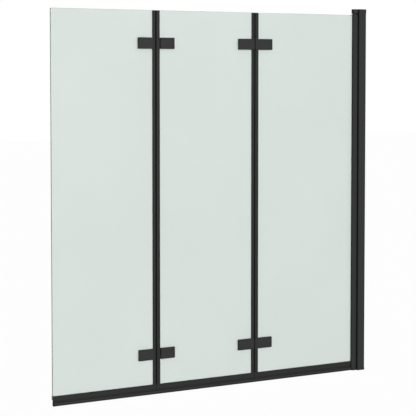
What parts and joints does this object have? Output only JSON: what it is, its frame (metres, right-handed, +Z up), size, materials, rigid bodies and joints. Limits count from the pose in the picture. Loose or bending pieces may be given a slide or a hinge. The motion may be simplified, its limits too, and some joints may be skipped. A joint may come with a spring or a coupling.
{
  "type": "folding bath screen",
  "caption": "Folding bath screen: satin glass leaves in black trim, joined by hinges in a zigzag and hung on a pivot beside a wall profile.",
  "frame": {"origin": "on the wall plane, under the middle of the foot of the wall profile", "axes": "+X into the wall, so the closed screen runs along -X from it; -Y to the front; +Z up"},
  "size_m": [1.3008, 0.0378, 1.382],
  "materials": {
    "satin_glass": "toughened glass with a satin etched face, pale green-grey",
    "black_powder_coat": "matt black powder coat with a fine grain",
    "black_pvc": "matt black extruded plastic",
    "black_nylon": "matt black moulded plastic",
    "black_rubber": "matt black rubber",
    "mill_aluminium": "plain extruded aluminium",
    "steel": "stainless steel, ground",
    "black_steel": "blackened stainless steel",
    "white_nylon": "white moulded nylon"
  },
  "bodies": {
    "wall_frame": {"outer_wall_profile": "black_powder_coat", "wall_channel": "mill_aluminium", "lock_screws": "black_steel", "nose_seal": "black_pvc", "top_cap": "black_nylon", "foot": "black_nylon", "cap_screws": "black_steel", "upper_pivot_pin": "steel", "lower_pivot_pin": "steel"},
    "inner_leaf": {"pivot_profile": "black_powder_coat", "upper_pivot_bush": "black_nylon", "lower_pivot_bush": "black_nylon", "glazing_gasket": "black_rubber", "inner_glass": "satin_glass", "inner_edge_seal": "black_pvc", "inner_bottom_seal": "black_pvc", "inner_joint_upper_pin_plate": "black_powder_coat", "inner_joint_lower_pin_plate": "black_powder_coat", "inner_joint_pins": "steel", "inner_joint_washers": "black_nylon", "inner_leaf_clamp_plates": "black_powder_coat", "inner_leaf_pads": "black_rubber", "inner_leaf_sleeves": "white_nylon", "inner_leaf_screws": "black_steel"},
    "middle_leaf": {"middle_glass": "satin_glass", "middle_edge_seal_inner": "black_pvc", "middle_edge_seal_outer": "black_pvc", "middle_bottom_seal": "black_pvc", "inner_joint_upper_swing_plate": "black_powder_coat", "inner_joint_lower_swing_plate": "black_powder_coat", "outer_joint_upper_pin_plate": "black_powder_coat", "outer_joint_lower_pin_plate": "black_powder_coat", "outer_joint_pins": "steel", "outer_joint_washers": "black_nylon", "middle_leaf_clamp_plates_inner": "black_powder_coat", "middle_leaf_clamp_plates_outer": "black_powder_coat", "middle_leaf_pads": "black_rubber", "middle_leaf_sleeves": "white_nylon", "middle_leaf_screws": "black_steel"},
    "outer_leaf": {"outer_glass": "satin_glass", "outer_edge_seal": "black_pvc", "outer_bottom_seal": "black_pvc", "outer_joint_upper_swing_plate": "black_powder_coat", "outer_joint_lower_swing_plate": "black_powder_coat", "outer_leaf_clamp_plates": "black_powder_coat", "outer_leaf_pads": "black_rubber", "outer_leaf_sleeves": "white_nylon", "outer_leaf_screws": "black_steel"}
  },
  "joints": [
    {"name": "wall_pivot", "type": "hinge", "parent": "wall_frame", "child": "inner_leaf", "pos_m": [-0.043, 0, 0.687], "axis": [0, 0, -1], "range_deg": [0, 90]},
    {"name": "inner_fold", "type": "hinge", "parent": "inner_leaf", "child": "middle_leaf", "pos_m": [-0.4892, -0.0103, 0.6947], "axis": [0, 0, 1], "range_deg": [0, 177]},
    {"name": "outer_fold", "type": "hinge", "parent": "middle_leaf", "child": "outer_leaf", "pos_m": [-0.8988, 0.0103, 0.6947], "axis": [0, 0, -1], "range_deg": [0, 177]}
  ]
}
